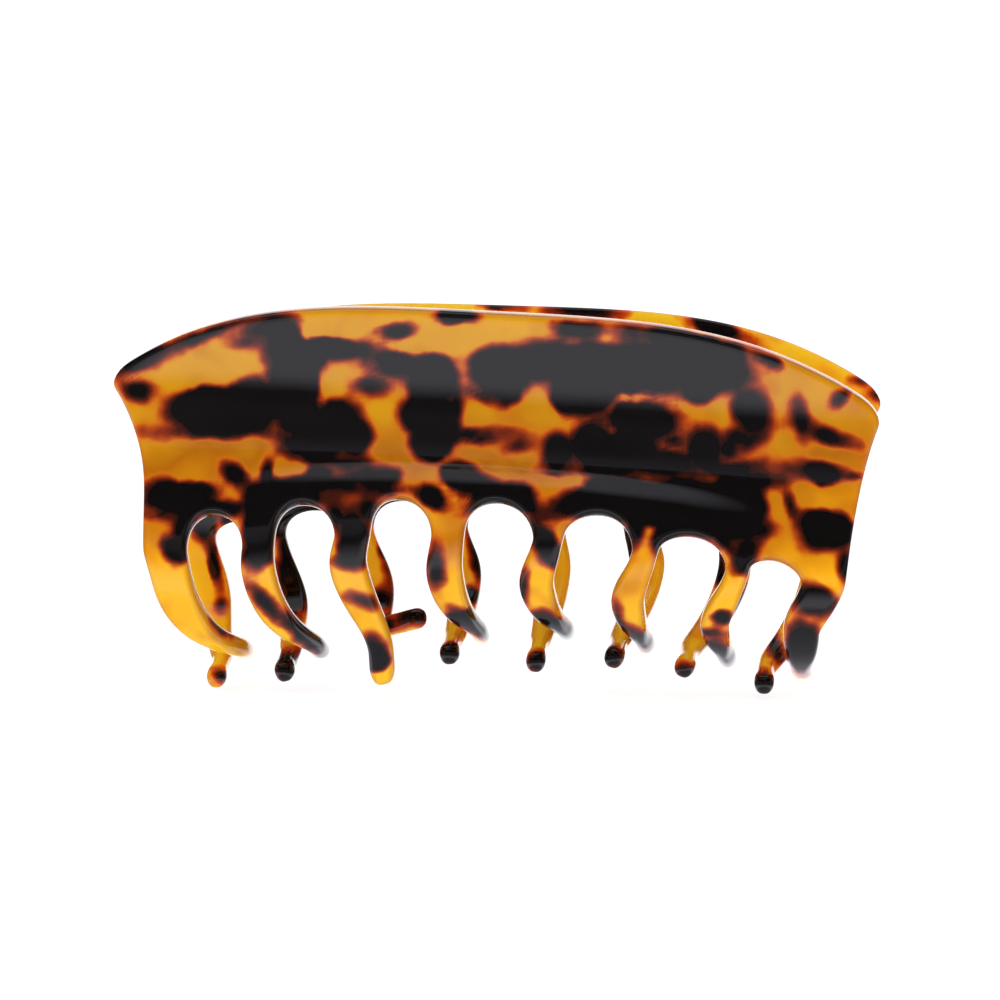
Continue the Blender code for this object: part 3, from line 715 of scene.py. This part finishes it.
def tortoiseshell(name, tones, glow, reach):
    """Polished acetate: near-black patches with red-orange borders in warm amber, with painted shade along
    its rounded edges.
    """
    made, nodes, shader = new_material(name)
    where = nodes.add("ShaderNodeTexCoord").outputs["Object"]
    depth = nodes.add("ShaderNodeAttribute", attribute_name="patch_depth").outputs["Fac"]
    broad = nodes.noise(where, 300.0, 1.5, 0.45)
    fine = nodes.noise(where, 900.0, 1.0, 0.4)
    cloud = nodes.noise(where, 90.0, 2.0, 0.5)
    shifted = nodes.swing(broad, 0.5, BROAD_WANDER, depth)
    shifted = nodes.swing(fine, 0.5, FINE_WANDER, shifted)
    # Some patches lie deeper in the sheet, so their borders look softer.
    spread = nodes.swing(cloud, 0.42, SOFTNESS, 0.7)
    spread = nodes.maths("MINIMUM", nodes.maths("MAXIMUM", spread, SHARPEST), SOFTEST)
    level = nodes.maths("MULTIPLY_ADD", nodes.maths("DIVIDE", shifted, spread), BORDER_STEEPNESS, 0.5)
    height = nodes.add("ShaderNodeSeparateXYZ")
    nodes.join(where, height.inputs[0])
    # The sheet is deepest amber across its middle and clearest in the teeth. On the back jaw the tones
    # also hold painted light, lighter at its teeth and top.
    drift = nodes.swing(cloud, 0.5, TONE_DRIFT * MM, height.outputs["Z"])
    amber = nodes.ramp(nodes.maths("MULTIPLY", drift, 1 / (TONE_HEIGHT * MM)), tones)
    # Here and there a thin brown haze hangs in the amber.
    thin = (HAZE_MOST, HAZE_MOST, HAZE_MOST)
    wisps = nodes.noise(where, 170.0, 1.0, 0.4)
    haze = nodes.ramp(wisps, ((HAZE_STARTS, BLACK), (HAZE_FULL, thin)), "EASE")
    amber = nodes.mix(haze, amber, HAZE_COLOUR)
    # Painted shade: the amber darkens towards brown round the sheet's rounded edges.
    edge = nodes.add("ShaderNodeAttribute", attribute_name="edge").outputs["Fac"]
    amber = nodes.mix(nodes.maths("MULTIPLY", edge, EDGE_SHADE_AMOUNT), amber, EDGE_SHADE_COLOUR)
    border = nodes.ramp(level, BORDER_TONES)
    inside = nodes.ramp(level, ((BORDER_STARTS, BLACK), (BORDER_FULL, WHITE)), "EASE")
    colour = nodes.mix(inside, amber, border)
    nodes.join(colour, shader.inputs["Base Color"])
    shader.inputs["Roughness"].default_value = 0.06
    shader.inputs["IOR"].default_value = 1.49
    shader.inputs["Subsurface Weight"].default_value = glow
    shader.inputs["Subsurface Radius"].default_value = (1.0, 0.5, 0.15)
    shader.inputs["Subsurface Scale"].default_value = reach * MM
    wave = nodes.noise(where, 60.0, 1.0, 0.4)
    nodes.bump(wave, 0.35, POLISH_WAVE * MM, shader)
    return made


def steel(name, tint, roughness, streaks):
    """Metal with fine drawing marks along X, faint stains and uneven polish."""
    made, nodes, shader = new_material(name)
    where = nodes.add("ShaderNodeTexCoord").outputs["Object"]
    stretch = nodes.add("ShaderNodeMapping")
    stretch.inputs["Scale"].default_value = (0.06, 1.0, 1.0)
    nodes.join(where, stretch.inputs["Vector"])
    marks = nodes.noise(stretch.outputs["Vector"], streaks, 4.0, 0.6)
    stains = nodes.noise(where, 260.0, 3.0, 0.55)
    dark = tuple(c * 0.72 for c in tint)
    nodes.join(nodes.ramp(stains, ((0.35, dark), (0.62, tint))), shader.inputs["Base Color"])
    shader.inputs["Metallic"].default_value = 1.0
    uneven = nodes.maths("MULTIPLY_ADD", marks, 0.12, roughness)
    nodes.join(uneven, shader.inputs["Roughness"])
    nodes.bump(marks, 0.12, DRAWN_MARK * MM, shader)
    return made


def dress(node, look):
    """Gives a CAD node's own material slots the finished look."""
    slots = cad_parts[node].material_slots
    for slot in slots:
        slot.material = look


def spring_line():
    """The wire's middle: a leg up the back jaw, the coil round the pin, and a leg up the front jaw."""
    half = COIL_TURNS * COIL_PITCH / 2
    start = math.radians(COIL_START)
    turns = COIL_TURNS + (180 + 2 * COIL_START) / 360
    count = int(turns * SPRING_STEPS)
    coil = []
    for k in range(count + 1):
        angle = start - 2 * math.pi * turns * k / count
        x = -half + 2 * half * k / count
        coil.append(Vector((x, COIL_RADIUS * math.cos(angle), COIL_RADIUS * math.sin(angle))))
    seat = place_on(bent_line(BENDS), SEAT_DOWN)[0] - SHEET / 2
    reach = seat - WIRE_RADIUS - LEG_GAP
    back_leg = Vector((coil[0].x, reach, LEG_UP))
    front_leg = Vector((coil[-1].x, -reach, LEG_UP))
    steps = [k / 8 for k in range(8)]
    rise = [back_leg.lerp(coil[0], t) for t in steps]
    fall = [front_leg.lerp(coil[-1], t) for t in reversed(steps)]
    return [p + Vector((0, 0, PIN_HEIGHT)) for p in rise + coil + fall]


def spring_piece(look):
    """The spring as one round wire, in place of its CAD node."""
    line = spring_line()
    curve = bpy.data.curves.new("spring_wire", "CURVE")
    curve.dimensions = "3D"
    curve.bevel_depth = WIRE_RADIUS * MM
    curve.bevel_resolution = WIRE_SIDES // 4
    curve.use_fill_caps = True
    spline = curve.splines.new("POLY")
    spline.points.add(len(line) - 1)
    for point, at in zip(spline.points, line):
        point.co = (*(at * MM), 1.0)
    flat = bpy.data.objects.new("spring_wire", curve)
    bpy.context.scene.collection.objects.link(flat)
    bpy.context.view_layer.update()
    mesh = bpy.data.meshes.new_from_object(flat.evaluated_get(bpy.context.evaluated_depsgraph_get()))
    bpy.data.objects.remove(flat, do_unlink=True)
    for polygon in mesh.polygons:
        polygon.use_smooth = len(polygon.vertices) == 4
    mesh.materials.clear()
    mesh.materials.append(look)
    obj = bpy.data.objects.new("torsion_spring_wire", mesh)
    bpy.context.scene.collection.objects.link(obj)
    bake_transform(obj)
    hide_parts("torsion_spring")
    return obj


def floor():
    """A pale table that lights the clip from below but isn't mirrored in it."""
    mesh = bpy.data.meshes.new("floor")
    half = FLOOR_HALF
    corners = [(-half, -half, 0), (half, -half, 0), (half, half, 0), (-half, half, 0)]
    mesh.from_pydata(corners, [], [(0, 1, 2, 3)])
    made, nodes, shader = new_material("pale_table")
    where = nodes.add("ShaderNodeTexCoord").outputs["Object"]
    grain = nodes.noise(where, 40.0, 3.0, 0.5)
    greys = nodes.ramp(grain, ((0.3, (0.28, 0.28, 0.28)), (0.7, (0.32, 0.32, 0.32))))
    nodes.join(greys, shader.inputs["Base Color"])
    shader.inputs["Roughness"].default_value = 0.9
    shader.inputs["Specular IOR Level"].default_value = 0.0
    shader.inputs["Emission Color"].default_value = (1.0, 1.0, 1.0, 1.0)
    shader.inputs["Emission Strength"].default_value = FLOOR_GLOW
    mesh.materials.append(made)
    obj = bpy.data.objects.new("floor", mesh)
    obj.visible_glossy = False
    bpy.context.scene.collection.objects.link(obj)


def studio():
    """White all round for soft light, and bands of light and shade for the polished sheet to mirror."""
    world = bpy.data.worlds.new("studio")
    bpy.context.scene.world = world
    world.use_nodes = True
    world.cycles.sampling_method = "NONE"
    nodes = Nodes(world.node_tree)
    back = world.node_tree.nodes["Background"]
    out = world.node_tree.nodes["World Output"]
    direction = nodes.add("ShaderNodeTexCoord").outputs["Generated"]
    split = nodes.add("ShaderNodeSeparateXYZ")
    nodes.join(direction, split.inputs[0])
    height = nodes.maths("MULTIPLY_ADD", split.outputs["Z"], 0.5, 0.5)
    stops = []
    for sine, light in MIRRORED_BANDS:
        stops.append(((sine + 1) / 2, tuple(light / MIRRORED_STRENGTH * c for c in MIRRORED_TINT)))
    bands = nodes.ramp(height, stops)
    # Behind the clip the studio is white, which draws the bright lines along its edges.
    behind = nodes.ramp(
        nodes.maths("MULTIPLY_ADD", split.outputs["Y"], 0.5, 0.5),
        (((BEHIND_STARTS + 1) / 2, BLACK), ((BEHIND_FULL + 1) / 2, WHITE)),
    )
    white = (BEHIND_LIGHT / MIRRORED_STRENGTH,) * 3
    nodes.join(nodes.mix(behind, bands, white), back.inputs["Color"])
    back.inputs["Strength"].default_value = MIRRORED_STRENGTH
    soft = nodes.add("ShaderNodeBackground")
    soft_light = nodes.ramp(height, ((0.3, (0.95, 0.95, 0.95)), (0.95, WHITE)))
    nodes.join(soft_light, soft.inputs["Color"])
    soft.inputs["Strength"].default_value = SOFT_STRENGTH
    path = nodes.add("ShaderNodeLightPath")
    choose = nodes.add("ShaderNodeMixShader")
    nodes.join(path.outputs["Is Glossy Ray"], choose.inputs[0])
    nodes.join(soft.outputs[0], choose.inputs[1])
    nodes.join(back.outputs[0], choose.inputs[2])
    nodes.join(choose.outputs[0], out.inputs["Surface"])


def camera():
    """Looks at the clip from its front, a little from the right and from above."""
    data = bpy.data.cameras.new("camera")
    data.sensor_width = SENSOR
    data.lens = SENSOR * CAMERA_FAR / FRAME_WIDTH
    obj = bpy.data.objects.new("camera", data)
    turn, rise = math.radians(CAMERA_TURN), math.radians(CAMERA_RISE)
    away = Vector((math.sin(turn) * math.cos(rise), -math.cos(turn) * math.cos(rise), math.sin(rise)))
    obj.location = Vector(TARGET) + away * CAMERA_FAR
    obj.rotation_euler = (-away).to_track_quat("-Z", "Y").to_euler()
    bpy.context.scene.collection.objects.link(obj)
    bpy.context.scene.camera = obj


def main():
    front_shell = tortoiseshell("tortoiseshell_front", FRONT_TONES, FRONT_GLOW, FRONT_REACH)
    back_shell = tortoiseshell("tortoiseshell_back", BACK_AMBER_AND_PAINTED_LIGHT, BACK_GLOW, BACK_REACH)
    plated = steel("plated_steel", (0.74, 0.72, 0.68), 0.16, 5200.0)
    drawn = steel("spring_steel", (0.56, 0.56, 0.57), 0.22, 7000.0)
    hidden = [
        (-x + REPEAT_SHIFT, z, wide, high, -tilt)
        for x, z, wide, high, tilt in FRONT_PATCHES
        if REPEAT_LOW < z < REPEAT_HIGH
    ]
    jaw_piece("front_jaw_sheet", "front", FRONT, "front_jaw", FRONT_PATCHES, False, front_shell)
    jaw_piece("back_jaw_sheet", "back", BACK, "back_jaw", BACK_PATCHES + tuple(hidden), True, back_shell)
    spring_piece(drawn)
    for node in ("front_hinge_bracket", "back_hinge_bracket", "hinge_pin"):
        dress(node, plated)
    for side in ("left", "right"):
        dress("front_rivet_" + side, plated)
        dress("back_rivet_" + side, plated)
    floor()
    studio()
    camera()
    bpy.context.scene.view_settings.view_transform = "Standard"
    bpy.context.view_layer.update()


main()
